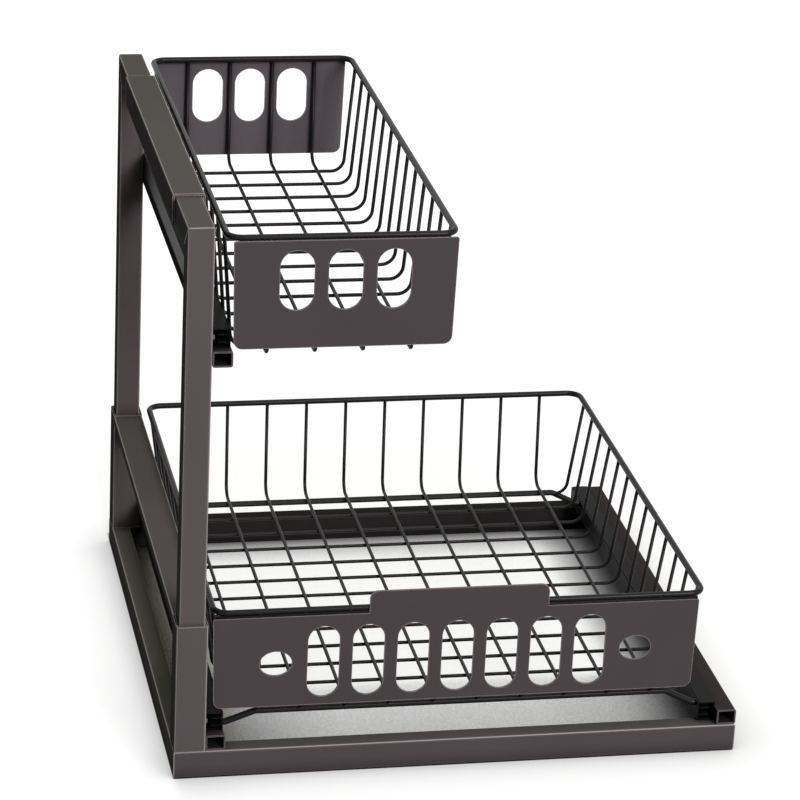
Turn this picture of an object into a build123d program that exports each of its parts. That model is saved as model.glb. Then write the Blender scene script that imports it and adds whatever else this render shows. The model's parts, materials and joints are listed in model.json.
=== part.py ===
from build123d import *
import os
from math import hypot, radians, sin, sqrt, tan

# Pull-out cabinet organiser: a steel tube stand that carries two wire baskets, one above
# the other, each on its own ball slides. Millimetres, +Z up. X runs along the front, from
# the post side to the open side, and Y runs from the front to the back. The sizes below are
# set from the front corner of the base under the front post. The finished pieces are moved
# so that the origin is on the floor, in the middle of the whole width and depth.

# ---------------------------------------------------------------- driving dimensions

# base frame of four mitred rectangular tubes
frame_width = 400.0
frame_depth = 395.0
base_rail_width = 14.0
base_rail_height = 20.0
base_rail_wall = 1.2
base_rail_corner = 1.5

# posts: square tubes that turn over at the top, and the square sleeves they stand in
post_size = 18.0
post_wall = 1.2
post_corner = 1.6
post_top = 400.0
post_stub_in_sleeve = 25.0
sleeve_wall = 1.6
sleeve_clearance = 0.4
sleeve_top = 115.0
sleeve_corner = 2.0
top_sleeve_setback = 64.0
side_beam_height = 8.0

# slide tubes, the small tubes that the slides lie on or are fastened to
slide_tube_width = 13.8
slide_tube_height = 11.2
slide_tube_wall = 1.1
slide_tube_corner = 1.6
slide_tube_inset = 1.0
upper_tube_drop = 77.3

# ball slides: an outer channel, an inner channel, and a cage of balls between them
slide_height = 14.0
slide_width = 12.7
slide_sheet = 1.0
slide_front = 8.0
slide_rear_gap = 7.0
slide_travel = 270.0
slide_lip_gap = 0.3
ball_diameter = 2.4
ball_play = 0.2
ball_offset = 7.0
inner_channel_depth = 8.4
cage_sheet = 0.8
cage_play = 0.25
cage_web_start = 2.6
cage_flange_end = 9.0
cage_length = 100.0
balls_in_row = 4
ball_margin = 11.0
right_slide_drop = 3.7

# slide screws
screw_diameter = 3.4
screw_head_diameter = 6.4
screw_head_height = 0.9
screw_hole_play = 0.1
screw_end = 3.0
small_rod_sides = 8
right_screw_margin = 40.0
right_screw_count = 3

# wires shared by both baskets
rim_wire = 4.4
mesh_wire = 2.6
support_wire = 4.6
weld_gap = 0.03
rim_corner_radius = 10.0
mesh_bend_radius = 10.0
mesh_front_bend_radius = 5.0
thick_wire_sides = 8
thick_chord_count = 3
mesh_wire_sides = 6
mesh_chord_count = 2

# lower basket
lower_front = 5.8
lower_left = 24.8
lower_width = 348.2
lower_rear_setback = 14.8
lower_rim_height = 120.5
lower_floor_drop = 77.5
lower_side_lean = 10.5
lower_rear_lean = 5.0
lower_cross_count = 13
lower_cross_front_margin = 14.5
lower_cross_rear_margin = 20.7
lower_long_count = 10

# upper basket
upper_front = 4.0
upper_width = 156.2
upper_rear_overhang = 13.4
upper_rim_drop = 9.0
upper_floor_drop = 83.4
upper_side_lean = 6.5
upper_rear_lean = 2.0
upper_cross_count = 13
upper_cross_margin = 23.4
upper_long_count = 4
upper_long_pitch = 32.3

# support wires under the lower basket
support_bend_radius = 8.0
support_ramp = 23.0
support_end_flat = 2.6
support_front_setback = 9.0
support_rear_gap = 0.4
support_left_end_drop = 3.6
support_right_end_drop = -4.2

# sheet panels on the baskets
panel_sheet = 1.2
panel_taper = 1.6
panel_foot_radius = 6.0
panel_top_radius = 1.5
lower_panel_left_inset = 0.8
lower_panel_right_inset = 6.0
lower_panel_top_drop = 2.8
lower_panel_height = 68.0
lower_tab_width = 126.0
lower_tab_rise = 16.5
lower_tab_radius = 6.0
lower_slot_count = 7
lower_slot_width = 22.0
lower_slot_length = 53.4
lower_slot_top_margin = 8.5
lower_oval_width = 22.4
lower_oval_height = 18.2
lower_oval_gap = 1.8
lower_oval_depth = 35.4
upper_front_panel_insets = (5.4, 1.5)
upper_rear_panel_insets = (4.4, 5.4)
upper_panel_top_drop = 1.4
upper_panel_height = 75.0
upper_slot_count = 3
upper_slot_width = 22.8
upper_slot_length = 41.5
upper_slot_top_margin = 7.0

# ---------------------------------------------------------------- sizes that follow

sleeve_size = post_size + 2 * (sleeve_wall + sleeve_clearance)
post_inset = sleeve_wall + sleeve_clearance
post_axis = sleeve_size / 2
post_inner_face = post_inset + post_size
stub_axis_height = post_top - post_size / 2
stub_length = top_sleeve_setback + post_stub_in_sleeve - post_inset

lower_tube_bottom = base_rail_height
lower_tube_top = lower_tube_bottom + slide_tube_height
lower_left_tube_x = sleeve_size
lower_right_tube_x = frame_width - slide_tube_width
upper_tube_x = post_inner_face

upper_rim_height = post_top - upper_rim_drop
upper_tube_top = upper_rim_height - upper_tube_drop
lower_floor = lower_rim_height - lower_floor_drop
lower_depth = frame_depth - lower_front - lower_rear_setback
upper_depth = frame_depth + upper_rear_overhang - upper_front
slide_length = frame_depth - slide_front - slide_rear_gap
cage_rest = slide_length - cage_length - slide_travel / 2
lower_tube_length = frame_depth - 2 * slide_tube_inset
upper_tube_length = frame_depth - 2 * post_inset

upper_slide_x = post_inner_face
upper_slide_top = upper_tube_top + slide_height

# the upper basket's leaning wall wires meet the slide's moving face at the slide's top edge
upper_slope = upper_side_lean / upper_floor_drop
upper_left = (upper_slide_x + slide_width + weld_gap + mesh_wire / 2 * hypot(1.0, upper_slope)
              - upper_slope * (upper_rim_height - upper_slide_top) - rim_wire / 2)

lower_left_slide_z = lower_tube_top + slide_height / 2
lower_right_slide_z = lower_tube_top - right_slide_drop
upper_slide_z = upper_tube_top + slide_height / 2

overall_depth = upper_front + upper_depth + panel_sheet
to_origin = Pos(-frame_width / 2, -overall_depth / 2, 0)

ball_row_height = slide_height / 2 - slide_sheet - ball_play - ball_diameter / 2
inner_channel_top = ball_row_height - ball_diameter / 2 - ball_play
screw_hole = screw_diameter + 2 * screw_hole_play


# ---------------------------------------------------------------- shared shapes

def tube(axis, start, length, centre_a, centre_b, size_a, size_b, wall, corner):
    """A rectangular tube with round corners, along X, Y or Z."""
    planes = {
        "X": Plane(origin=(start, centre_a, centre_b), x_dir=(0, 1, 0), z_dir=(1, 0, 0)),
        "Y": Plane(origin=(centre_a, start, centre_b), x_dir=(1, 0, 0), z_dir=(0, 1, 0)),
        "Z": Plane(origin=(centre_a, centre_b, start), x_dir=(1, 0, 0), z_dir=(0, 0, 1)),
    }
    section = RectangleRounded(size_a, size_b, corner) - Rectangle(size_a - 2 * wall, size_b - 2 * wall)
    return extrude(planes[axis] * section, amount=length)


def bar_along_y(points, start, length):
    """A bar whose section is the closed outline of (x, z) points."""
    outline = Polyline(*[(x, start, z) for x, z in points], close=True)
    return extrude(make_face(outline), amount=length, dir=(0, 1, 0))


def rod_along_x(x, y, z, diameter, length):
    """A rod with few sides from x, in the direction of the sign of its length."""
    side = 1 if length > 0 else -1
    section = RegularPolygon(diameter / 2, small_rod_sides, major_radius=False)
    face = Plane(origin=(x, y, z), x_dir=(0, 1, 0), z_dir=(side, 0, 0)) * section
    return extrude(face, amount=abs(length))


def bend_points(points, radii, chords):
    """The points of a wire's path, with each bend run in a few equal chords."""
    corners = [Vector(*p) for p in points]
    route = [corners[0]]
    for before, corner, after, radius in zip(corners, corners[1:], corners[2:], radii):
        back, ahead = (before - corner).normalized(), (after - corner).normalized()
        half = radians(back.get_angle(ahead)) / 2
        centre = corner + (back + ahead).normalized() * (radius / sin(half))
        first = corner + back * (radius / tan(half)) - centre
        last = corner + ahead * (radius / tan(half)) - centre
        turn = Axis((0, 0, 0), first.cross(last))
        step = first.get_angle(last) / chords
        route += [centre + first.rotate(turn, i * step) for i in range(chords + 1)]
    return route + [corners[-1]]


def bent_wire(points, radii, flat_side, diameter, sides, chords):
    """A wire with few sides; flat_side is a direction across the path that one side faces."""
    path = Polyline(*bend_points(points, radii, chords))
    start = Plane(origin=path @ 0, x_dir=flat_side, z_dir=path % 0)
    section = RegularPolygon(diameter / 2, sides, major_radius=False, rotation=180 / sides)
    return sweep(start * section, path=path, transition=Transition.RIGHT)


def mesh_bar(points, radii, flat_side):
    """One of the thin wires."""
    return bent_wire(points, radii, flat_side, mesh_wire, mesh_wire_sides, mesh_chord_count)


def cut_level(wire, height):
    """The part of a wire below a height, so that its ends seat on what runs there."""
    return split(wire, bisect_by=Plane(origin=(0, 0, height)), keep=Keep.BOTTOM)


def group(solids):
    """Separate equal pieces that share one node."""
    return Compound(children=list(solids))


# ---------------------------------------------------------------- stand

def base_rail(axis, near_side):
    """One mitred tube of the base; near_side is the rail at the front or under the posts."""
    along, across = (frame_width, frame_depth) if axis == "X" else (frame_depth, frame_width)
    outer = 0.0 if near_side else across
    inner = base_rail_width if near_side else across - base_rail_width
    corners = [(0, outer), (along, outer), (along - base_rail_width, inner), (base_rail_width, inner)]
    if axis == "Y":
        corners = [(b, a) for a, b in corners]
    mitre = extrude(make_face(Polyline(*corners, close=True)), amount=base_rail_height, dir=(0, 0, 1))
    middle = (outer + inner) / 2
    rail = tube(axis, 0, along, middle, base_rail_height / 2,
                base_rail_width, base_rail_height, base_rail_wall, base_rail_corner)
    return rail & mitre


def post_sleeve(y_axis):
    """A lower sleeve, standing on the base, with the slide screw's hole in its inner wall."""
    sleeve = tube("Z", base_rail_height, sleeve_top - base_rail_height, post_axis, y_axis,
                  sleeve_size, sleeve_size, sleeve_wall, sleeve_corner)
    return sleeve - rod_along_x(post_axis, y_axis, lower_left_slide_z, screw_hole, sleeve_size)


def post(y_axis, side):
    """A post, mitred at its top; side is 1 where the stub runs to the back and -1 to the front."""
    solid = tube("Z", base_rail_height, post_top - base_rail_height, post_axis, y_axis,
                 post_size, post_size, post_wall, post_corner)
    for z in (lower_left_slide_z, upper_slide_z):
        solid -= rod_along_x(post_axis, y_axis, z, screw_hole, post_size)
    return split(solid, bisect_by=elbow_plane(y_axis, side), keep=Keep.BOTTOM)


def post_stub(y_axis, side, length):
    """The mitred stub on a post, which the top sleeve slips over."""
    outer = y_axis - side * post_size / 2
    solid = tube("Y", min(outer, outer + side * length), length, post_axis, stub_axis_height,
                 post_size, post_size, post_wall, post_corner)
    return split(solid, bisect_by=elbow_plane(y_axis, side), keep=Keep.TOP)


def elbow_plane(y_axis, side):
    """The mitre plane of an elbow, facing up and towards the stub."""
    return Plane(origin=(post_axis, y_axis, stub_axis_height), z_dir=(0, side, 1))


def side_beam():
    """The flat tube that ties the two lower sleeves together at their top."""
    return tube("Y", sleeve_size, frame_depth - 2 * sleeve_size, post_axis,
                sleeve_top - side_beam_height / 2, sleeve_size, side_beam_height,
                sleeve_wall, sleeve_corner)


def top_sleeve():
    """The sleeve that slips over the stubs of both posts."""
    return tube("Y", top_sleeve_setback, frame_depth - 2 * top_sleeve_setback, post_axis,
                stub_axis_height, sleeve_size, sleeve_size, sleeve_wall, sleeve_corner)


def slide_tube(left, bottom, start, length):
    """A small tube under or beside a slide, open at both ends."""
    return tube("Y", start, length, left + slide_tube_width / 2, bottom + slide_tube_height / 2,
                slide_tube_width, slide_tube_height, slide_tube_wall, slide_tube_corner)


def right_slide_tube():
    """The slide tube on the open side, with the holes of its slide screws."""
    solid = slide_tube(lower_right_tube_x, lower_tube_bottom, slide_tube_inset, lower_tube_length)
    for y in right_screw_places():
        solid -= rod_along_x(lower_right_tube_x - 1, y, lower_right_slide_z, screw_hole,
                             1 + slide_tube_wall * 2)
    return solid


# ---------------------------------------------------------------- ball slides
# A slide is set by its mounting face, its middle height and its side: 1 where it opens
# towards +X and -1 where it opens towards -X.

def right_screw_places():
    """Places along Y of the screws of the right-hand slide."""
    first = slide_front + right_screw_margin
    step = (slide_length - 2 * right_screw_margin) / (right_screw_count - 1)
    return [first + i * step for i in range(right_screw_count)]


def left_screw_places():
    """Places along Y of the screws of the left-hand slides, on the post axes."""
    return [post_axis, frame_depth - post_axis]


def slide_outline(face, middle, side, points):
    """Turns (depth, height) points of the upper half into a closed, symmetric outline."""
    upper = [(face + side * depth, middle + height) for depth, height in points]
    lower = [(x, 2 * middle - z) for x, z in reversed(upper)]
    return upper + lower


def fixed_rail(face, middle, side, screw_places):
    """The outer channel, whose web is screwed to the stand."""
    half = slide_height / 2
    lip_end = slide_width - slide_sheet - slide_lip_gap
    points = [(slide_sheet, half - slide_sheet), (lip_end, half - slide_sheet),
              (lip_end, half), (0, half)]
    outline = slide_outline(face, middle, side, points)
    rail = bar_along_y(outline, slide_front, slide_length)
    for y in screw_places:
        rail -= rod_along_x(face - side, y, middle, screw_hole, side * (slide_sheet + 2))
    return rail


def moving_rail(face, middle, side):
    """The inner channel, whose web carries the basket."""
    half = slide_height / 2 - slide_lip_gap
    web = slide_width - slide_sheet
    flange_start = slide_width - inner_channel_depth
    low = inner_channel_top - slide_sheet
    points = [(web, low), (flange_start, low), (flange_start, inner_channel_top),
              (web, inner_channel_top), (web, half), (slide_width, half)]
    outline = slide_outline(face, middle, side, points)
    return bar_along_y(outline, slide_front, slide_length)


def ball_places():
    """Places along Y of the balls, at rest."""
    step = (cage_length - 2 * ball_margin) / (balls_in_row - 1)
    return [slide_front + cage_rest + ball_margin + i * step for i in range(balls_in_row)]


def ball_cage(face, middle, side):
    """The channel of thin sheet that keeps the balls apart, with a window for each ball."""
    top = ball_row_height + cage_sheet / 2
    points = [(cage_web_start + cage_sheet, top - cage_sheet), (cage_flange_end, top - cage_sheet),
              (cage_flange_end, top), (cage_web_start, top)]
    outline = slide_outline(face, middle, side, points)
    cage = bar_along_y(outline, slide_front + cage_rest, cage_length)
    window = ball_diameter + 2 * cage_play
    for y in ball_places():
        cage -= Pos(face + side * ball_offset, y, middle) * Box(window, window, slide_height)
    return cage


def faceted_ball():
    """A ball with few faces: a cube whose edges are cut back until all faces are as far out."""
    cube = Box(ball_diameter, ball_diameter, ball_diameter)
    return chamfer(cube.edges(), ball_diameter * (1 - 1 / sqrt(2)))


def slide_balls(face, middle, side):
    """The two rows of balls of one slide."""
    x = face + side * ball_offset
    ball = faceted_ball()
    return group(Pos(x, y, middle + row * ball_row_height) * ball
                 for y in ball_places() for row in (-1, 1))


def slide_screws(face, middle, side, screw_places):
    """Flat-headed screws through the web and the walls behind it."""
    screws = []
    for y in screw_places:
        x_head = face + side * slide_sheet
        shank_length = slide_sheet + screw_end
        head = rod_along_x(x_head, y, middle, screw_head_diameter, side * screw_head_height)
        screws.append(head + rod_along_x(x_head, y, middle, screw_diameter, -side * shank_length))
    return group(screws)


# ---------------------------------------------------------------- baskets

def basket_rim(left, front, width, depth, height):
    """The closed rim wire, with round corners."""
    inset = rim_wire / 2
    x1 = left + width - inset
    y0, y1 = front + inset, front + depth - inset
    middle = left + width / 2
    right = bent_wire([(middle, y0, height), (x1, y0, height), (x1, y1, height), (middle, y1, height)],
                      [rim_corner_radius] * 2, (0, 0, 1), rim_wire, thick_wire_sides, thick_chord_count)
    return right + mirror(right, about=Plane(origin=(middle, 0, 0), z_dir=(1, 0, 0)))


def cross_wires(left, first, width, height, floor_drop, lean, count, pitch):
    """U-shaped wires under the floor and up both side walls to the rim, at one pitch."""
    x0, x1 = left + rim_wire / 2, left + width - rim_wire / 2
    wire = mesh_bar([(x0, first, height), (x0 + lean, first, height - floor_drop),
                     (x1 - lean, first, height - floor_drop), (x1, first, height)],
                    [mesh_bend_radius] * 2, (1, 0, 0))
    wire = cut_level(wire, height - rim_wire / 2)
    return group(Pos(0, i * pitch, 0) * wire for i in range(count))


def long_wires(places, front, depth, height, floor_drop, lean):
    """Wires along the floor, on top of the cross wires, and up the front and rear to the rim."""
    floor = height - floor_drop + mesh_wire
    front_leg = front + mesh_wire / 2
    rear_leg = front + depth - mesh_wire / 2
    wire = mesh_bar([(0, front_leg, height), (0, front_leg, floor), (0, rear_leg - lean, floor),
                     (0, rear_leg, height)], [mesh_front_bend_radius, mesh_bend_radius], (0, 1, 0))
    wire = cut_level(wire, height - rim_wire / 2)
    return group(Pos(x, 0, 0) * wire for x in places)


def lower_long_step():
    """The pitch of the lower basket's long wires and of the slots between them."""
    return (lower_width - rim_wire) / (lower_long_count + 1)


def lower_long_places():
    """Places along X of the lower basket's long wires."""
    return [lower_left + rim_wire / 2 + (i + 1) * lower_long_step() for i in range(lower_long_count)]


def upper_long_places():
    """Places along X of the upper basket's long wires."""
    middle = upper_left + upper_width / 2
    first = middle - upper_long_pitch * (upper_long_count - 1) / 2
    return [first + i * upper_long_pitch for i in range(upper_long_count)]


def support(y):
    """A thick wire across the lower basket whose ends drop to the moving rails."""
    middle = lower_floor + mesh_wire / 2 - support_wire / 2
    x0 = lower_left_tube_x + slide_width + weld_gap
    x1 = lower_right_tube_x - slide_width - weld_gap
    z0 = lower_left_slide_z - support_left_end_drop
    z1 = lower_right_slide_z - support_right_end_drop
    return bent_wire([(x0, y, z0), (x0 + support_end_flat, y, z0),
                      (x0 + support_ramp, y, middle), (x1 - support_ramp, y, middle),
                      (x1 - support_end_flat, y, z1), (x1, y, z1)], [support_bend_radius] * 4,
                     (0, 1, 0), support_wire, thick_wire_sides, thick_chord_count)


def corner_fillet(face, places, radius):
    """Rounds the corners of a flat outline that lie at the given points."""
    picked = [v for v in face.vertices()
              if any(abs(v.X - x) < 0.01 and abs(v.Y - y) < 0.01 for x, y in places)]
    return fillet(picked, radius)


def upright_sheet(outline, y, towards):
    """A flat outline in X and Z stood up at y and thickened to the front or the back."""
    plane = Plane(origin=(0, y, 0), x_dir=(1, 0, 0), z_dir=(0, -1, 0))
    return extrude(plane * outline, amount=-towards * panel_sheet)


def lower_front_panel():
    """The lower front panel: a raised handle tab, a row of slots and two oval holes."""
    x0 = lower_left + lower_panel_left_inset
    x1 = lower_left + lower_width - lower_panel_right_inset
    z1 = lower_rim_height - lower_panel_top_drop
    z0 = z1 - lower_panel_height
    middle = (x0 + x1) / 2
    tab0, tab1 = middle - lower_tab_width / 2, middle + lower_tab_width / 2
    tab_top = z1 + lower_tab_rise
    foot = [(x0 + panel_taper, z0), (x1 - panel_taper, z0)]
    shoulder = [(x1, z1), (x0, z1)]
    tab = [(tab1, tab_top), (tab0, tab_top)]
    points = foot + [shoulder[0], (tab1, z1)] + tab + [(tab0, z1), shoulder[1]]
    outline = make_face(Polyline(*points, close=True))
    outline = corner_fillet(outline, foot, panel_foot_radius)
    outline = corner_fillet(outline, shoulder, panel_top_radius)
    outline = corner_fillet(outline, tab, lower_tab_radius)
    step = lower_long_step()
    slot_middle = z1 - lower_slot_top_margin - lower_slot_length / 2
    for i in range(lower_slot_count):
        x = middle + (i - (lower_slot_count - 1) / 2) * step
        outline -= Pos(x, slot_middle) * SlotOverall(lower_slot_length, lower_slot_width, rotation=90)
    for side in (-1, 1):
        x = middle + side * ((lower_slot_count + 1) / 2 * step + lower_oval_gap)
        outline -= Pos(x, z1 - lower_oval_depth) * Ellipse(lower_oval_width / 2, lower_oval_height / 2)
    return upright_sheet(outline, lower_front, -1)


def upper_panel(y, towards, insets):
    """An upper panel with its row of three slots, for the front or the back. The insets are
    how far it stays inside the rim on the post side and on the open side."""
    x0, x1 = upper_left + insets[0], upper_left + upper_width - insets[1]
    z1 = upper_rim_height - upper_panel_top_drop
    z0 = z1 - upper_panel_height
    foot = [(x0 + panel_taper, z0), (x1 - panel_taper, z0)]
    shoulder = [(x1, z1), (x0, z1)]
    outline = make_face(Polyline(*foot, *shoulder, close=True))
    outline = corner_fillet(outline, foot, panel_foot_radius)
    outline = corner_fillet(outline, shoulder, panel_top_radius)
    slot_middle = z1 - upper_slot_top_margin - upper_slot_length / 2
    for i in range(upper_slot_count):
        x = (x0 + x1) / 2 + (i - (upper_slot_count - 1) / 2) * upper_long_pitch
        outline -= Pos(x, slot_middle) * SlotOverall(upper_slot_length, upper_slot_width, rotation=90)
    return upright_sheet(outline, y, towards)


# ---------------------------------------------------------------- assembly

def stand():
    """The base, the posts and the tubes that carry the slides."""
    back_axis = frame_depth - post_axis
    return {
        "front_base_rail": base_rail("X", True),
        "rear_base_rail": base_rail("X", False),
        "left_base_rail": base_rail("Y", True),
        "right_base_rail": base_rail("Y", False),
        "front_post_sleeve": post_sleeve(post_axis),
        "rear_post_sleeve": post_sleeve(back_axis),
        "side_beam": side_beam(),
        "front_post": post(post_axis, 1),
        "rear_post": post(back_axis, -1),
        "front_post_stub": post_stub(post_axis, 1, stub_length),
        "rear_post_stub": post_stub(back_axis, -1, stub_length),
        "top_sleeve": top_sleeve(),
        "lower_left_slide_tube": slide_tube(lower_left_tube_x, lower_tube_bottom,
                                            slide_tube_inset, lower_tube_length),
        "lower_right_slide_tube": right_slide_tube(),
        "upper_slide_tube": slide_tube(upper_tube_x, upper_tube_top - slide_tube_height,
                                       post_inset, upper_tube_length),
    }


def slides():
    """The three ball slides with their screws."""
    settings = {
        "lower_left": (lower_left_tube_x, lower_left_slide_z, 1, left_screw_places()),
        "lower_right": (lower_right_tube_x, lower_right_slide_z, -1, right_screw_places()),
        "upper": (upper_slide_x, upper_slide_z, 1, left_screw_places()),
    }
    nodes = {}
    for name, (face, middle, side, screw_places) in settings.items():
        nodes[name + "_fixed_rail"] = fixed_rail(face, middle, side, screw_places)
        nodes[name + "_moving_rail"] = moving_rail(face, middle, side)
        nodes[name + "_ball_cage"] = ball_cage(face, middle, side)
        nodes[name + "_balls"] = slide_balls(face, middle, side)
        nodes[name + "_slide_screws"] = slide_screws(face, middle, side, screw_places)
    return nodes


def lower_basket():
    """The wide basket at the bottom."""
    first_cross = lower_front + rim_wire / 2 + lower_cross_front_margin
    last_cross = lower_front + lower_depth - rim_wire / 2 - lower_cross_rear_margin
    pitch = (last_cross - first_cross) / (lower_cross_count - 1)
    rear_support = last_cross + mesh_wire / 2 + support_rear_gap + support_wire / 2
    return {
        "lower_basket_rim": basket_rim(lower_left, lower_front, lower_width, lower_depth,
                                       lower_rim_height),
        "lower_cross_wires": cross_wires(lower_left, first_cross, lower_width, lower_rim_height,
                                         lower_floor_drop, lower_side_lean, lower_cross_count,
                                         pitch),
        "lower_long_wires": long_wires(lower_long_places(), lower_front, lower_depth,
                                       lower_rim_height, lower_floor_drop, lower_rear_lean),
        "lower_front_panel": lower_front_panel(),
        "lower_front_support_wire": support(lower_front + support_front_setback),
        "lower_rear_support_wire": support(rear_support),
    }


def upper_basket():
    """The narrow basket that hangs beside the posts."""
    first_cross = upper_front + upper_cross_margin
    pitch = (upper_depth - 2 * upper_cross_margin) / (upper_cross_count - 1)
    return {
        "upper_basket_rim": basket_rim(upper_left, upper_front, upper_width, upper_depth,
                                       upper_rim_height),
        "upper_cross_wires": cross_wires(upper_left, first_cross, upper_width, upper_rim_height,
                                         upper_floor_drop, upper_side_lean, upper_cross_count,
                                         pitch),
        "upper_long_wires": long_wires(upper_long_places(), upper_front, upper_depth,
                                       upper_rim_height, upper_floor_drop, upper_rear_lean),
        "upper_front_panel": upper_panel(upper_front, -1, upper_front_panel_insets),
        "upper_rear_panel": upper_panel(upper_front + upper_depth, 1, upper_rear_panel_insets),
    }


def main():
    os.makedirs("parts", exist_ok=True)
    for make in (stand, slides, lower_basket, upper_basket):
        for name, solid in make().items():
            export_step(to_origin * solid, f"parts/{name}.step")


main()
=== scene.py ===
import json
import math

import bpy
import numpy as np
from bpy.props import FloatProperty, FloatVectorProperty, IntProperty, PointerProperty
from mathutils import Matrix, Vector


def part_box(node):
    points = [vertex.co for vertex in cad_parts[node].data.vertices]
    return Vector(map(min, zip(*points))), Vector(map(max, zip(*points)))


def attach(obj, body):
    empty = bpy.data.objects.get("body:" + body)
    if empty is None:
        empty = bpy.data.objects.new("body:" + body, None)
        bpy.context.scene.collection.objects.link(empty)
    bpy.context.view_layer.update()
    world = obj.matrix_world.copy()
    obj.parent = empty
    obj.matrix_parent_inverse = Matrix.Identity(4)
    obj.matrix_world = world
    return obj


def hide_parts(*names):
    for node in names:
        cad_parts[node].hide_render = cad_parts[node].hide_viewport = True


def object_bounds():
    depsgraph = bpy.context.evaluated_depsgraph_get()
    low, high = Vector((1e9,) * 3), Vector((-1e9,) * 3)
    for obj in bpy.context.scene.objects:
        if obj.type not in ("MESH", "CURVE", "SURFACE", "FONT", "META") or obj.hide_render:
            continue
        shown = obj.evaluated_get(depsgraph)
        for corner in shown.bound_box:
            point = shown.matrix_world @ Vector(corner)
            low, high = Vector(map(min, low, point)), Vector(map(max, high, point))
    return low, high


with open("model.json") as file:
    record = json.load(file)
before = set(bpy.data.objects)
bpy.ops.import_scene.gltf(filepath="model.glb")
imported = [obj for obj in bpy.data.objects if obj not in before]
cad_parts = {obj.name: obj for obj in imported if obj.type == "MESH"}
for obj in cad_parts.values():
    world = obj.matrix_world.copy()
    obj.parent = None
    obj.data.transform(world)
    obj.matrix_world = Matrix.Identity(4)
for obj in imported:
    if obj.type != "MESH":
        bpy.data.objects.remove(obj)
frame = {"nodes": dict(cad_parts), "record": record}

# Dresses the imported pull-out cabinet organiser: smooth round wires in place of the plain
# bars, a weld bead, a satin powder coat on every tube, wire and panel, dark ball slides, and
# a pale studio with the camera. Metres throughout, +Z up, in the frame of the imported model.

bl_info = {
    "name": "Cabinet Basket Dresser",
    "version": (1, 0, 0),
    "blender": (4, 5, 0),
    "location": "View3D > Sidebar > Basket",
    "description": "Makes the wires, finishes and studio of a pull-out cabinet basket",
    "category": "Object",
}

CAD_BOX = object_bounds()
FRAME_WIDTH = CAD_BOX[1][0] - CAD_BOX[0][0]
FRAME_DEPTH = CAD_BOX[1][1] - CAD_BOX[0][1]
MM = 0.001
WHITE = (1.0, 1.0, 1.0, 1.0)
BLACK = (0.0, 0.0, 0.0, 1.0)


# ---------------------------------------------------------------- sizes and colours

def length(name, description, millimetres):
    """A length property whose default is given in millimetres."""
    return FloatProperty(name=name, description=description, default=millimetres * MM,
                         min=0.0, subtype="DISTANCE", unit="LENGTH")


def colour(name, description, rgb):
    """A colour property in linear RGB."""
    return FloatVectorProperty(name=name, description=description, default=rgb, size=3,
                               min=0.0, max=1.0, subtype="COLOR")


def slider(name, description, value, high=1.0):
    """A number property from 0 to its highest value."""
    return FloatProperty(name=name, description=description, default=value, min=0.0, max=high,
                         subtype="FACTOR")


def count(name, description, value):
    """A number of like wires."""
    return IntProperty(name=name, description=description, default=value, min=2)


class BasketWireSizes(bpy.types.PropertyGroup):
    """Sizes of the wires, as the solids have them."""
    mesh_diameter: length("Mesh Wire", "Diameter of the thin wires of both baskets", 2.6)
    bend_radius: length("Bend Radius", "Radius of the bends between floor and walls", 10.0)
    front_bend_radius: length("Front Bend", "Radius of the bends behind a front panel", 5.0)
    rim_corner_radius: length("Rim Corner", "Radius of the rim's corners", 10.0)
    lower_side_lean: length("Lower Side Lean", "How far a lower side wall leans in", 10.5)
    lower_rear_lean: length("Lower Rear Lean", "How far the lower rear wall leans in", 5.0)
    upper_side_lean: length("Upper Side Lean", "How far an upper side wall leans in", 6.5)
    upper_rear_lean: length("Upper Rear Lean", "How far the upper rear wall leans in", 2.0)
    cross_count: count("Cross Wires", "U-shaped wires in each basket", 13)
    lower_long_count: count("Lower Long Wires", "Lengthwise wires below", 10)
    upper_long_count: count("Upper Long Wires", "Lengthwise wires above", 4)
    support_ramp: length("Support Ramp", "Length of a support wire's sloping end", 23.0)
    support_end_flat: length("Support End", "Straight end of a support wire", 2.6)
    support_left_drop: length("Left End Drop", "Drop of its left end from the rail's middle", 3.6)
    support_bend_radius: length("Support Bend", "Radius of a support wire's bends", 8.0)
    weld_radius: length("Weld", "Radius of the bead between lower panel and rim", 1.15)
    weld_sink: length("Weld Sink", "How deep the bead is sunk into the rim", 0.3)


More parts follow.
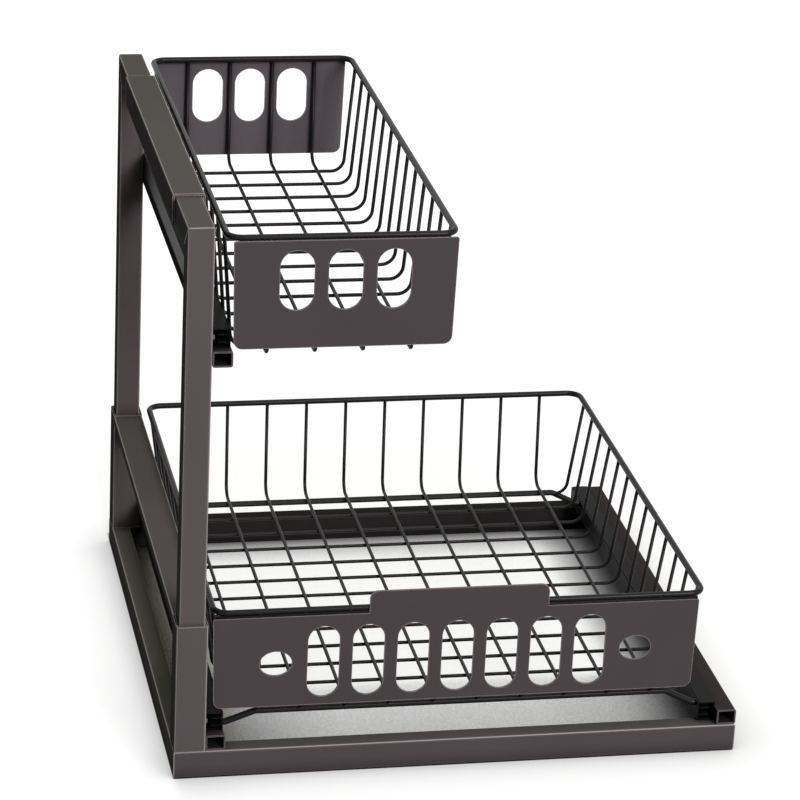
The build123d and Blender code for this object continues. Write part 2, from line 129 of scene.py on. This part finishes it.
class BasketFinishes(bpy.types.PropertyGroup):
    """Colours and gloss of the finishes."""
    stand_colour: colour("Stand", "Powder coat of the tubes", (0.104, 0.094, 0.092))
    tube_colour: colour("Slide Tubes", "Powder coat of the slide tubes", (0.040, 0.036, 0.036))
    panel_colour: colour("Front Panels", "Coat of the front panels", (0.072, 0.066, 0.065))
    # Rear panel: the panels' coat painted lighter, as painted light on the far panel.
    rear_panel_painted_light: colour("Rear Panel", "Coat of the rear panel", (0.112, 0.104, 0.110))
    # Front rail: the stand's coat painted darker and more neutral, as painted shade low on the
    # frame.
    front_rail_painted_shade: colour("Front Rail", "Coat of the front rail", (0.084, 0.078, 0.077))
    # Rear rail: the stand's coat painted much darker, as painted shade under the baskets.
    rear_rail_painted_shade: colour("Rear Rail", "Coat of the rear rail", (0.030, 0.028, 0.027))
    # Left rail: the stand's coat painted lighter, as painted light where it lies in the beam's
    # shade.
    left_rail_painted_light: colour("Left Rail", "Coat of the left rail", (0.148, 0.139, 0.126))
    wire_colour: colour("Wires", "Powder coat of the wires", (0.008, 0.007, 0.007))
    slide_colour: colour("Slides", "Dark finish of the ball slides", (0.004, 0.004, 0.004))
    cage_colour: colour("Cages", "Bare steel of the ball cages", (0.30, 0.30, 0.31))
    ball_colour: colour("Balls", "Polished steel of the balls", (0.62, 0.62, 0.64))
    screw_colour: colour("Screws", "Blackened steel of the slide screws", (0.05, 0.05, 0.052))
    coat_roughness: slider("Coat Roughness", "Roughness of the powder coat", 0.50)
    # Painted highlight: corners of the coat are painted lighter, in lines of this width, by the
    # gain below.
    edge_width: length("Edge Width", "Width of the light lines on the corners", 0.9)
    edge_highlight_gain: slider("Edge Lightness", "How much lighter a corner is", 3.6, 10.0)
    # Painted shade: surfaces are painted darker within this reach of another surface.
    nook_shade_reach: length("Nook Reach", "How near a surface makes another one darker", 12.0)
    floor_colour: colour("Floor", "Studio floor, as it is seen", (0.28, 0.28, 0.28))


def sizes():
    """The scene's wire sizes."""
    return bpy.context.scene.basket_wire_sizes


def finishes():
    """The scene's colours and gloss."""
    return bpy.context.scene.basket_finishes


# ---------------------------------------------------------------- surfaces

BEND_STEPS = 8
SUPPORT_BEND_STEPS = 5
RIM_SIDES = 20
SUPPORT_SIDES = 18
MESH_SIDES = 14
WELD_SIDES = 10


def rounded_path(corners, radius, steps=BEND_STEPS):
    """Points along straight runs joined by arcs, of one radius or one for each bend. An arc
    starts and ends where its circle touches both runs: centre plus the start offset times cos
    plus the side offset times sin, with the angle going evenly from none to the turn."""
    corners, radius = np.asarray(corners, float), np.reshape(radius, (-1, 1))
    before, corner, after = corners[:-2], corners[1:-1], corners[2:]
    back = before - corner
    back /= np.linalg.norm(back, axis=1, keepdims=True)
    ahead = after - corner
    ahead /= np.linalg.norm(ahead, axis=1, keepdims=True)
    half = np.arccos(np.clip((back * ahead).sum(1), -1, 1))[:, None] / 2
    centre = corner + (back + ahead) / np.linalg.norm(back + ahead, axis=1, keepdims=True) * (
        radius / np.sin(half))
    start = corner + back * radius / np.tan(half) - centre
    side = -back * radius
    angle = (math.pi - 2 * half)[:, :, None] * np.linspace(0, 1, steps + 1)[None, :, None]
    arcs = centre[:, None] + start[:, None] * np.cos(angle) + side[:, None] * np.sin(angle)
    return np.vstack([corners[:1], arcs.reshape(-1, 3), corners[-1:]])


def wire_surface(path, normal, radius, sides, closed=False):
    """A round tube carried along a flat path. A point is the path's point plus the radius
    times (cos u along the plane's normal plus sin u along normal x tangent), u around the
    wire; at a corner the tangent is the mean of both runs'. Ends are closed by a face."""
    path, normal = np.asarray(path, float), np.asarray(normal, float)
    if closed:
        runs = np.roll(path, -1, axis=0) - path
        runs /= np.linalg.norm(runs, axis=1, keepdims=True)
        tangent = runs + np.roll(runs, 1, axis=0)
    else:
        runs = np.diff(path, axis=0)
        runs /= np.linalg.norm(runs, axis=1, keepdims=True)
        tangent = np.vstack([runs[:1], runs[1:] + runs[:-1], runs[-1:]])
    tangent /= np.linalg.norm(tangent, axis=1, keepdims=True)
    across = np.cross(normal, tangent)
    u = np.linspace(0, 2 * math.pi, sides, endpoint=False)
    cosine, sine = np.cos(u)[None, :, None], np.sin(u)[None, :, None]
    ring = radius * (cosine * normal + sine * across[:, None])
    points = (path[:, None] + ring).reshape(-1, 3)
    rows = len(path)
    last = rows if closed else rows - 1
    row, col = np.meshgrid(np.arange(last), np.arange(sides), indexing="ij")
    below, right = (row + 1) % rows, (col + 1) % sides
    quads = np.stack([row * sides + col, row * sides + right, below * sides + right,
                      below * sides + col], axis=-1).reshape(-1, 4)
    faces = quads.tolist()
    if not closed:
        faces.append(list(range(sides))[::-1])
        faces.append([(rows - 1) * sides + i for i in range(sides)])
    return points, faces


def repeated(points, faces, offsets):
    """The same surface at each of the given offsets, as one."""
    every = (points[None] + np.asarray(offsets, float)[:, None]).reshape(-1, 3)
    starts = [k * len(points) for k in range(len(offsets))]
    together = [[start + i for i in face] for start in starts for face in faces]
    return every, together


def make_wire(name, points, faces, body, replaced=None):
    """Puts a wire's surface into a mesh object that rides on a body and may replace a solid.
    Its sides are smooth and its flat ends aren't."""
    mesh = bpy.data.meshes.new(name)
    mesh.from_pydata(points.tolist(), [], faces)
    mesh.update()
    smooth = np.array([len(face) == 4 for face in faces])
    mesh.polygons.foreach_set("use_smooth", smooth)
    mesh.materials.append(wire_material())
    piece = bpy.data.objects.new(name, mesh)
    bpy.context.scene.collection.objects.link(piece)
    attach(piece, body)
    if replaced:
        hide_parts(replaced)


# ---------------------------------------------------------------- shader maths

class Value:
    """A shader socket that Python's operators calculate with, one Math node for each."""

    def __init__(self, graph, socket):
        self.graph, self.socket = graph, socket

    def maths(self, operation, first, second=0.0):
        return self.graph.node("ShaderNodeMath", {"operation": operation}, {0: first, 1: second})

    def __add__(self, other):
        return self.maths("ADD", self, other)

    __radd__ = __add__

    def __sub__(self, other):
        return self.maths("SUBTRACT", self, other)

    def __rsub__(self, other):
        return self.maths("SUBTRACT", other, self)

    def __mul__(self, other):
        return self.maths("MULTIPLY", self, other)

    __rmul__ = __mul__

    def __pow__(self, other):
        return self.maths("POWER", self, other)

    def size(self):
        return self.maths("ABSOLUTE", self)

    def at_least(self, other):
        return self.maths("MAXIMUM", self, other)

    def at_most(self, other):
        return self.maths("MINIMUM", self, other)


OBJECT_PLACE = 3
MIX_SHARE, MIX_FIRST, MIX_SECOND, MIX_COLOUR = 0, 6, 7, 2


class Graph:
    """A node tree that is filled by one method."""

    def __init__(self, tree):
        self.tree = tree
        tree.nodes.clear()

    def node(self, kind, settings=None, inputs=None, output=0):
        """Adds a node, first its settings and then its inputs, and returns one output."""
        made = self.tree.nodes.new(kind)
        for key, value in (settings or {}).items():
            setattr(made, key, value)
        for key, value in (inputs or {}).items():
            if isinstance(value, Value):
                self.tree.links.new(value.socket, made.inputs[key])
            else:
                made.inputs[key].default_value = value
        return Value(self, made.outputs[output]) if made.outputs else None

    def mix_colour(self, share, first, second):
        """Goes from the first colour to the second by a share."""
        return self.node("ShaderNodeMix", {"data_type": "RGBA"},
                         {MIX_SHARE: share, MIX_FIRST: first, MIX_SECOND: second},
                         output=MIX_COLOUR)

    def noise(self, place, scale, detail=2.0, roughness=0.5):
        """Soft noise from 0 to 1, finer for a greater scale."""
        return self.node("ShaderNodeTexNoise", {}, {"Vector": place, "Scale": scale,
                                                    "Detail": detail, "Roughness": roughness})

    def on_object(self):
        """The place on the object, in metres."""
        return self.node("ShaderNodeTexCoord", output=OBJECT_PLACE)


def new_material(name):
    """A material and the graph that fills its nodes."""
    material = bpy.data.materials.new(name)
    material.use_nodes = True
    return material, Graph(material.node_tree)


def shade(rgb, factor):
    """A colour made lighter or darker, with its alpha."""
    return tuple(min(1.0, c * factor) for c in rgb) + (1.0,)


# ---------------------------------------------------------------- finishes

EDGE_SAMPLES = 6
SHARP_GAIN, SHARP_START = 2.6, 0.08
ROUND_GAIN, ROUND_START = 8.0, 0.1
NOOK_SAMPLES = 4
NOOK_SHADE = 0.1
CLOUD_SCALE, CLOUD_CONTRAST = 9.0, 0.14
GRAIN_SCALE, GRAIN_ROUGHNESS = 2600.0, 0.6
PEEL_SCALE = 620.0
SPECK_GAIN, SPECK_START = 3.0, 1.35
SPECK_SHARE, SPECK_LIGHTNESS = 0.22, 1.7
CORNER_COAT, CORNER_COAT_ROUGHNESS = 0.6, 0.3
PEEL_STRENGTH, PEEL_HEIGHT, GRAIN_HEIGHT = 0.10, 0.4 * MM, 0.4
GLOSS_SHIFT, CLOUD_GLOSS, GRAIN_GLOSS = 0.05, 0.08, 0.05
STREAK_SCALES = (900.0, 12.0, 900.0)
STREAK_STRENGTH, STREAK_HEIGHT, STREAK_GLOSS = 0.08, 0.2 * MM, 0.12
WIRE_SMOOTHER, WIRE_SPECULAR = 0.20, 0.12
PANEL_ROUGHER = 0.04


def corner_share(graph):
    """0 on flat faces and 1 on the corners: how far the normal of a rounded-off corner turns
    away from the surface's own, or, on a tube's round corner, from the nearest axis."""
    rounded = graph.node("ShaderNodeBevel", {"samples": EDGE_SAMPLES},
                         {"Radius": finishes().edge_width})
    flat = graph.node("ShaderNodeNewGeometry", output="Normal")
    turned = graph.node("ShaderNodeVectorMath", {"operation": "DISTANCE"},
                        {0: rounded, 1: flat}, output="Value")
    size = graph.node("ShaderNodeVectorMath", {"operation": "ABSOLUTE"}, {0: flat})
    parts = [graph.node("ShaderNodeSeparateXYZ", {}, {"Vector": size}, output=axis)
             for axis in "XYZ"]
    off_axis = 1.0 - parts[0].at_least(parts[1]).at_least(parts[2])
    sharp = (turned * SHARP_GAIN - SHARP_START).at_least(0.0)
    round_corner = ((off_axis - ROUND_START) * ROUND_GAIN).at_least(0.0)
    return sharp.at_least(round_corner).at_most(1.0)


def powder_coat(name, rgb, roughness, specular=0.0, edges=True):
    """Satin powder coat: soft tonal clouds, fine light grains and orange peel, and, with edges,
    painted shade that darkens nooks near other surfaces and a painted highlight that lightens the
    corners, which also get a glossy coat layer."""
    material, graph = new_material(name)
    place = graph.on_object()
    clouds = graph.noise(place, CLOUD_SCALE, 3.0)
    grain = graph.noise(place, GRAIN_SCALE, 2.0, GRAIN_ROUGHNESS)
    peel = graph.noise(place, PEEL_SCALE, 2.0)
    tone = graph.mix_colour(clouds, shade(rgb, 1 - CLOUD_CONTRAST),
                            shade(rgb, 1 + CLOUD_CONTRAST))
    speck = (grain * SPECK_GAIN - SPECK_START).at_least(0.0).at_most(1.0)
    tone = graph.mix_colour(speck * SPECK_SHARE, tone, shade(rgb, SPECK_LIGHTNESS))
    corner = corner_share(graph) if edges else 0.0
    if edges:
        # Painted shade: the base colour darkens near other surfaces, as in nooks and gaps.
        painted_nook_shade = 1.0 - graph.node("ShaderNodeAmbientOcclusion", {"samples": NOOK_SAMPLES},
                                {"Distance": finishes().nook_shade_reach}, output="AO")
        tone = graph.mix_colour(painted_nook_shade, tone, shade(rgb, NOOK_SHADE))
        # Painted highlight: the corners are painted lighter in the base colour.
        tone = graph.mix_colour(corner, tone, shade(rgb, finishes().edge_highlight_gain))
    gloss = roughness - GLOSS_SHIFT + clouds * CLOUD_GLOSS + grain * GRAIN_GLOSS
    height = peel + grain * GRAIN_HEIGHT
    bump = graph.node("ShaderNodeBump", {}, {
        "Strength": PEEL_STRENGTH, "Distance": PEEL_HEIGHT, "Height": height})
    shader = graph.node("ShaderNodeBsdfPrincipled", {}, {
        "Base Color": tone, "Roughness": gloss, "Normal": bump, "Specular IOR Level": specular,
        "Coat Weight": corner * CORNER_COAT, "Coat Roughness": CORNER_COAT_ROUGHNESS})
    graph.node("ShaderNodeOutputMaterial", {}, {"Surface": shader})
    return material


def rolled_steel(name, rgb, roughness, metallic, streaks, specular=0.5):
    """Cold-rolled strip: streaks that run along the slide, from a noise squeezed across it."""
    material, graph = new_material(name)
    along = graph.node("ShaderNodeMapping", {}, {"Vector": graph.on_object(),
                                                 "Scale": STREAK_SCALES})
    streak = graph.noise(along, 1.0, 3.0)
    tone = graph.mix_colour(streak, shade(rgb, 1 - streaks), shade(rgb, 1 + streaks))
    bump = graph.node("ShaderNodeBump", {}, {
        "Strength": STREAK_STRENGTH, "Distance": STREAK_HEIGHT, "Height": streak})
    shader = graph.node("ShaderNodeBsdfPrincipled", {}, {
        "Base Color": tone, "Roughness": roughness + streak * STREAK_GLOSS,
        "Metallic": metallic, "Specular IOR Level": specular, "Normal": bump})
    graph.node("ShaderNodeOutputMaterial", {}, {"Surface": shader})
    return material


def give(nodes, material):
    """Puts a material on the solids' own meshes."""
    for name in nodes:
        mesh = frame["nodes"][name].data
        mesh.materials.clear()
        mesh.materials.append(material)


def stand_nodes():
    """The tubes of the stand: what rides on it without being part of a slide."""
    return [name for name in frame["record"]["behaviour"]["bodies"]["stand"]
            if not name.endswith(("_fixed_rail", "_slide_screws", "_slide_tube"))]


def wire_material():
    """One shared coat for all wires."""
    found = bpy.data.materials.get("wire_powder_coat")
    return found or powder_coat("wire_powder_coat", finishes().wire_colour,
                                finishes().coat_roughness - WIRE_SMOOTHER, WIRE_SPECULAR,
                                edges=False)


# ---------------------------------------------------------------- pieces

LEVELS = ("lower", "upper")


def rim_values(level):
    """The rim's centre line, from its solid: left, right, front, rear, height and radius."""
    low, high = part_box(level + "_basket_rim")
    radius = (high.z - low.z) / 2
    return (low.x + radius, high.x - radius, low.y + radius, high.y - radius,
            low.z + radius, radius)


def wall_leans(level):
    """How far the side walls and the rear wall lean in, and the number of long wires."""
    group = sizes()
    if level == "lower":
        return group.lower_side_lean, group.lower_rear_lean, group.lower_long_count
    return group.upper_side_lean, group.upper_rear_lean, group.upper_long_count


def spread(low, high, wires, radius):
    """Even places from the first wire of a group to its last. The solids' wires are bars of
    six sides, so an outer one reaches the radius over cos 30 degrees past its middle."""
    half_width = radius / math.cos(math.radians(30))
    return np.linspace(low + half_width, high - half_width, wires)


class BasketRims(bpy.types.Operator):
    """Makes the closed, round rim wire of each basket"""
    bl_idname = "cabinet_basket.rims"
    bl_label = "Rim Wires"

    def execute(self, context):
        for level in LEVELS:
            left, right, front, rear, height, radius = rim_values(level)
            middle = (left + right) / 2
            loop = rounded_path([(middle, front, height), (right, front, height),
                                 (right, rear, height), (left, rear, height),
                                 (left, front, height), (middle, front, height)],
                                sizes().rim_corner_radius)[:-1]
            points, faces = wire_surface(loop, (0, 0, 1), radius, RIM_SIDES, closed=True)
            make_wire(level + "_round_rim", points, faces, level + "_basket",
                      level + "_basket_rim")
        return {"FINISHED"}


class PanelWeld(bpy.types.Operator):
    """Makes the weld bead that closes the gap between the lower panel and its rim"""
    bl_idname = "cabinet_basket.weld"
    bl_label = "Panel Weld"

    def execute(self, context):
        # Along the panel's top edge, as far from the rim's middle as both radii less the sink.
        group = sizes()
        _, _, front, _, height, radius = rim_values("lower")
        low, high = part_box("lower_front_panel")
        reach = radius + group.weld_radius - group.weld_sink
        y = (low.y + high.y) / 2 + group.weld_radius / 2
        z = height - math.sqrt(reach ** 2 - (front - y) ** 2)
        ends = [(low.x + group.weld_radius, y, z), (high.x - group.weld_radius, y, z)]
        path = np.linspace(*ends, 3)
        points, faces = wire_surface(path, (0, 1, 0), group.weld_radius, WELD_SIDES)
        make_wire("lower_panel_weld", points, faces, "lower_basket")
        return {"FINISHED"}


class BasketCrossWires(bpy.types.Operator):
    """Makes the U-shaped wires under the floor and up both side walls"""
    bl_idname = "cabinet_basket.cross_wires"
    bl_label = "Cross Wires"

    def execute(self, context):
        radius = sizes().mesh_diameter / 2
        for level in LEVELS:
            left, right, _, _, height, _ = rim_values(level)
            low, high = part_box(level + "_cross_wires")
            floor, lean = low.z + radius, wall_leans(level)[0]
            path = rounded_path([(left, 0, height), (left + lean, 0, floor),
                                 (right - lean, 0, floor), (right, 0, height)],
                                sizes().bend_radius)
            points, faces = wire_surface(path, (0, 1, 0), radius, MESH_SIDES)
            places = spread(low.y, high.y, sizes().cross_count, radius)
            offsets = np.stack([0 * places, places, 0 * places], axis=1)
            make_wire(level + "_round_cross_wires", *repeated(points, faces, offsets),
                      level + "_basket", level + "_cross_wires")
        return {"FINISHED"}


class BasketLongWires(bpy.types.Operator):
    """Makes the lengthwise wires on the floor and up the front and rear walls"""
    bl_idname = "cabinet_basket.long_wires"
    bl_label = "Long Wires"

    def execute(self, context):
        radius = sizes().mesh_diameter / 2
        for level in LEVELS:
            height = rim_values(level)[4]
            low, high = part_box(level + "_long_wires")
            floor = low.z + radius
            front_leg, rear_leg = low.y + radius, high.y - radius
            lean, wires = wall_leans(level)[1:]
            path = rounded_path([(0, front_leg, height), (0, front_leg, floor),
                                 (0, rear_leg - lean, floor), (0, rear_leg, height)],
                                (sizes().front_bend_radius, sizes().bend_radius))
            points, faces = wire_surface(path, (1, 0, 0), radius, MESH_SIDES)
            places = spread(low.x, high.x, wires, radius)
            offsets = np.stack([places, 0 * places, 0 * places], axis=1)
            make_wire(level + "_round_long_wires", *repeated(points, faces, offsets),
                      level + "_basket", level + "_long_wires")
        return {"FINISHED"}


class BasketSupportWires(bpy.types.Operator):
    """Makes the two thick wires that carry the lower basket on its slides"""
    bl_idname = "cabinet_basket.support_wires"
    bl_label = "Support Wires"

    def execute(self, context):
        group = sizes()
        left_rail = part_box("lower_left_moving_rail")
        for place in ("front", "rear"):
            low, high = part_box("lower_" + place + "_support_wire")
            radius = (high.y - low.y) / 2
            y = (low.y + high.y) / 2
            under_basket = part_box("lower_long_wires")[0].z
            middle = under_basket - radius
            left_end = (left_rail[0].z + left_rail[1].z) / 2 - group.support_left_drop
            right_end = low.z + radius
            path = rounded_path([(low.x, y, left_end),
                                 (low.x + group.support_end_flat, y, left_end),
                                 (low.x + group.support_ramp, y, middle),
                                 (high.x - group.support_ramp, y, middle),
                                 (high.x - group.support_end_flat, y, right_end),
                                 (high.x, y, right_end)],
                                group.support_bend_radius, SUPPORT_BEND_STEPS)
            points, faces = wire_surface(path, (0, 1, 0), radius, SUPPORT_SIDES)
            make_wire("lower_" + place + "_round_support", points, faces, "lower_basket",
                      "lower_" + place + "_support_wire")
        return {"FINISHED"}


class StandFinish(bpy.types.Operator):
    """Coats the tubes of the stand and the sheet panels of the baskets"""
    bl_idname = "cabinet_basket.coats"
    bl_label = "Powder Coats"

    def execute(self, context):
        group = finishes()
        tubes = [name for name in sorted(frame["nodes"]) if name.endswith("_slide_tube")]
        for nodes, name, rgb in (
                (stand_nodes(), "stand_powder_coat", group.stand_colour),
                # The front rail's coat carries painted shade.
                (["front_base_rail"], "front_rail_painted_shade_coat", group.front_rail_painted_shade),
                # The rear rail's coat carries painted shade.
                (["rear_base_rail"], "rear_rail_painted_shade_coat", group.rear_rail_painted_shade),
                # The left rail's coat carries painted light.
                (["left_base_rail"], "left_rail_painted_light_coat", group.left_rail_painted_light),
                (tubes, "tube_powder_coat", group.tube_colour)):
            give(nodes, powder_coat(name, rgb, group.coat_roughness))
        for nodes, name, rgb in (
                (["lower_front_panel", "upper_front_panel"], "panel_powder_coat",
                 group.panel_colour),
                # The rear panel's coat carries painted light.
                (["upper_rear_panel"], "rear_panel_painted_light_coat", group.rear_panel_painted_light)):
            give(nodes, powder_coat(name, rgb, group.coat_roughness + PANEL_ROUGHER))
        return {"FINISHED"}


class SlideFinish(bpy.types.Operator):
    """Finishes the rails, cages, balls and screws of the ball slides"""
    bl_idname = "cabinet_basket.slides"
    bl_label = "Ball Slides"

    def execute(self, context):
        group = finishes()
        for endings, steel in (
                (("_fixed_rail", "_moving_rail"),
                 rolled_steel("slide_steel", group.slide_colour, roughness=0.42, metallic=0.0,
                              streaks=0.3, specular=0.06)),
                ("_ball_cage", rolled_steel("cage_steel", group.cage_colour, roughness=0.30,
                                            metallic=1.0, streaks=0.15)),
                ("_balls", rolled_steel("ball_steel", group.ball_colour, roughness=0.12,
                                        metallic=1.0, streaks=0.05)),
                ("_slide_screws", rolled_steel("screw_steel", group.screw_colour, roughness=0.3,
                                               metallic=0.8, streaks=0.2))):
            give([name for name in sorted(frame["nodes"]) if name.endswith(endings)], steel)
        return {"FINISHED"}


# ---------------------------------------------------------------- stage

# The camera, as the photograph's: its place, three directions and focal length.
CAMERA_PLACE = (-0.4882, -2.2522, 1.1288)
CAMERA_RIGHT = (0.98087, -0.18943, 0.04491)
CAMERA_DOWN = (-0.03076, -0.37857, -0.92506)
CAMERA_AHEAD = (0.19224, 0.90598, -0.37715)
FOCAL_PIXELS = 3399.3
PICTURE_PIXELS = 800
SENSOR_WIDTH = 36.0
FAR_CLIP = 50.0

# A lamp's place, what it points at, its side, power in watts and tint.
KEY_LAMP = ((1.8, -3.8, 2.5), (0, 0, 0.25), 2.2, 238.0, (1.0, 0.88, 0.96))
TOP_LAMP = ((0.3, 0.1, 2.2), (0, 0, 0.1), 1.4, 12.0, (0.80, 1.0, 0.70))
SKY_LIGHT = 0.20

# The floor: its size and drop, how much it is lifted to white, its share of bounced light, how
# far it looks for what closes it in, and how strongly that darkens it with a painted shadow,
# deepest and tinted in the strip along the left rail; left of the frame a greater lift paints
# light into the real shadow. The bands are ranges of the share of the frame's half width or
# depth, and the far floor is in metres.
FLOOR_HALF = 6.0
FLOOR_DROP = 0.4 * MM
FLOOR_SAMPLES = 8
FLOOR_LIFT = 0.80
BOUNCE_SHARE = 0.4
OPEN_REACH = 0.045
BAND_REACH = 0.10
OPEN_POWER = 0.7
INSIDE_POWER = 2.9
LEFT_SHADOW_POWER = 0.4
LEFT_SHADOW_TINT = (1.0, 0.97, 0.80)
LEFT_OUTSIDE = (0.98, 1.02)
LEFT_OUTSIDE_PAINTED_LIGHT = 0.6
LEFT_BAND = (0.70, 0.80)
FRONT_BAND = (0.36, 0.50)
FAR_FLOOR = (0.35, 1.2)


def add_camera():
    """The camera at the photograph's place, turned by its right, up and backward directions."""
    data = bpy.data.cameras.new("photo_camera")
    data.sensor_width = SENSOR_WIDTH
    data.lens = FOCAL_PIXELS / PICTURE_PIXELS * SENSOR_WIDTH
    data.clip_end = FAR_CLIP
    camera = bpy.data.objects.new("photo_camera", data)
    right, up, behind = Vector(CAMERA_RIGHT), -Vector(CAMERA_DOWN), -Vector(CAMERA_AHEAD)
    turn = Matrix((right, up, behind)).transposed().to_4x4()
    camera.matrix_world = Matrix.Translation(CAMERA_PLACE) @ turn
    bpy.context.scene.collection.objects.link(camera)
    bpy.context.scene.camera = camera


def add_lamp(name, place, target, side, power, tint):
    """A square area lamp that points at a target."""
    data = bpy.data.lights.new(name, "AREA")
    data.size, data.energy, data.color = side, power, tint
    lamp = bpy.data.objects.new(name, data)
    facing = Vector(target) - Vector(place)
    lamp.matrix_world = (Matrix.Translation(place)
                         @ facing.to_track_quat("-Z", "Y").to_matrix().to_4x4())
    bpy.context.scene.collection.objects.link(lamp)


def seen_directly(graph):
    """1 for rays that show a surface to the camera, straight, by gloss or through glass."""
    camera = graph.node("ShaderNodeLightPath", output="Is Camera Ray")
    glossy = graph.node("ShaderNodeLightPath", output="Is Glossy Ray")
    through = graph.node("ShaderNodeLightPath", output="Is Transmission Ray")
    return (camera + glossy + through).at_most(1.0)


def ramp(value, ends):
    """0 below the first end and 1 above the second, straight in between."""
    return ((value - ends[0]) * (1 / (ends[1] - ends[0]))).at_least(0.0).at_most(1.0)


def add_floor():
    """A flat floor that its own light lifts to white where it is seen. A painted shadow makes it
    darker where the object closes it in, by the share of open sky to a power that is greater
    inside the frame and greatest in a tinted strip along the left rail, looking further along its
    left and front rails. It is lifted more far away and, as painted light that weakens the
    shadow, just left of the frame."""
    material, graph = new_material("studio_floor")
    seen = seen_directly(graph)
    place = graph.on_object()
    share = graph.node("ShaderNodeVectorMath", {"operation": "MULTIPLY"},
                       {0: place, 1: (-2 / FRAME_WIDTH, -2 / FRAME_DEPTH, 0)})
    leftwards = graph.node("ShaderNodeSeparateXYZ", {}, {"Vector": share}, output="X")
    forwards = graph.node("ShaderNodeSeparateXYZ", {}, {"Vector": share}, output="Y")
    outwards = leftwards.size().at_least(forwards.size())
    inside = outwards.maths("LESS_THAN", outwards, 1.0)
    left_shadow_strip = ramp(leftwards, LEFT_BAND)
    band = left_shadow_strip.at_least(ramp(forwards, FRONT_BAND))
    reach = OPEN_REACH + inside * band * (BAND_REACH - OPEN_REACH)
    power = OPEN_POWER + inside * (INSIDE_POWER - OPEN_POWER + left_shadow_strip * LEFT_SHADOW_POWER)
    # Painted shadow: the floor's colour and lift fall with the open sky to this power.
    painted_shadow_factor = graph.node("ShaderNodeAmbientOcclusion", {"samples": FLOOR_SAMPLES},
                          {"Distance": reach}, output="AO") ** power
    away = graph.node("ShaderNodeVectorMath", {"operation": "LENGTH"}, {0: place},
                      output="Value")
    # Left of the frame the lift is raised: painted light that weakens the object's shadow there.
    far = ramp(away, FAR_FLOOR).at_least(ramp(leftwards, LEFT_OUTSIDE) * LEFT_OUTSIDE_PAINTED_LIGHT)
    bounce = shade(finishes().floor_colour, BOUNCE_SHARE)
    tone = graph.mix_colour(seen, bounce, (*finishes().floor_colour, 1.0))
    tone = graph.mix_colour(painted_shadow_factor, BLACK, tone)
    diffuse = graph.node("ShaderNodeBsdfDiffuse", {}, {"Color": tone})
    # The painted shadow in the strip along the left rail is tinted.
    tint = graph.mix_colour(inside * left_shadow_strip, WHITE, (*LEFT_SHADOW_TINT, 1.0))
    strength = seen * painted_shadow_factor * (FLOOR_LIFT + far * (1 - FLOOR_LIFT))
    lift = graph.node("ShaderNodeEmission", {}, {"Color": tint, "Strength": strength})
    both = graph.node("ShaderNodeAddShader", {}, {0: diffuse, 1: lift})
    graph.node("ShaderNodeOutputMaterial", {}, {"Surface": both})
    mesh = bpy.data.meshes.new("studio_floor")
    corners = [(x * FLOOR_HALF, y * FLOOR_HALF, -FLOOR_DROP)
               for x, y in ((-1, -1), (1, -1), (1, 1), (-1, 1))]
    mesh.from_pydata(corners, [], [(0, 1, 2, 3)])
    mesh.materials.append(material)
    floor = bpy.data.objects.new("studio_floor", mesh)
    bpy.context.scene.collection.objects.link(floor)


def set_world():
    """White where it is seen, and a softer white where it lights the object."""
    world = bpy.data.worlds.new("studio_world")
    bpy.context.scene.world = world
    world.use_nodes = True
    graph = Graph(world.node_tree)
    strength = SKY_LIGHT + seen_directly(graph) * (1 - SKY_LIGHT)
    sky = graph.node("ShaderNodeBackground", {}, {"Color": WHITE, "Strength": strength})
    graph.node("ShaderNodeOutputWorld", {}, {"Surface": sky})


class StudioStage(bpy.types.Operator):
    """Sets the floor, world, lamps and camera"""
    bl_idname = "cabinet_basket.stage"
    bl_label = "Studio Stage"

    def execute(self, context):
        context.scene.view_settings.view_transform = "Standard"
        set_world()
        add_floor()
        add_lamp("key_lamp", *KEY_LAMP)
        add_lamp("top_lamp", *TOP_LAMP)
        add_camera()
        return {"FINISHED"}


# ---------------------------------------------------------------- add-on

class BasketPanel(bpy.types.Panel):
    """Lists the steps that dress the cabinet basket"""
    bl_idname = "VIEW3D_PT_cabinet_basket"
    bl_label = "Cabinet Basket"
    bl_space_type = "VIEW_3D"
    bl_region_type = "UI"
    bl_category = "Basket"

    def draw(self, context):
        for group in (context.scene.basket_wire_sizes, context.scene.basket_finishes):
            column = self.layout.column()
            for key in group.__annotations__:
                column.prop(group, key)
        for step in STEPS:
            self.layout.operator(step.bl_idname)


GROUPS = (BasketWireSizes, BasketFinishes)
STEPS = (BasketRims, PanelWeld, BasketCrossWires, BasketLongWires, BasketSupportWires,
         StandFinish, SlideFinish, StudioStage)


def register():
    for item in (*GROUPS, *STEPS, BasketPanel):
        bpy.utils.register_class(item)
    bpy.types.Scene.basket_wire_sizes = PointerProperty(type=BasketWireSizes)
    bpy.types.Scene.basket_finishes = PointerProperty(type=BasketFinishes)


def unregister():
    del bpy.types.Scene.basket_finishes
    del bpy.types.Scene.basket_wire_sizes
    for item in reversed((*GROUPS, *STEPS, BasketPanel)):
        bpy.utils.unregister_class(item)


def main():
    register()
    for step in STEPS:
        group, name = step.bl_idname.split(".")
        getattr(getattr(bpy.ops, group), name)()


if __name__ == "__main__":
    main()
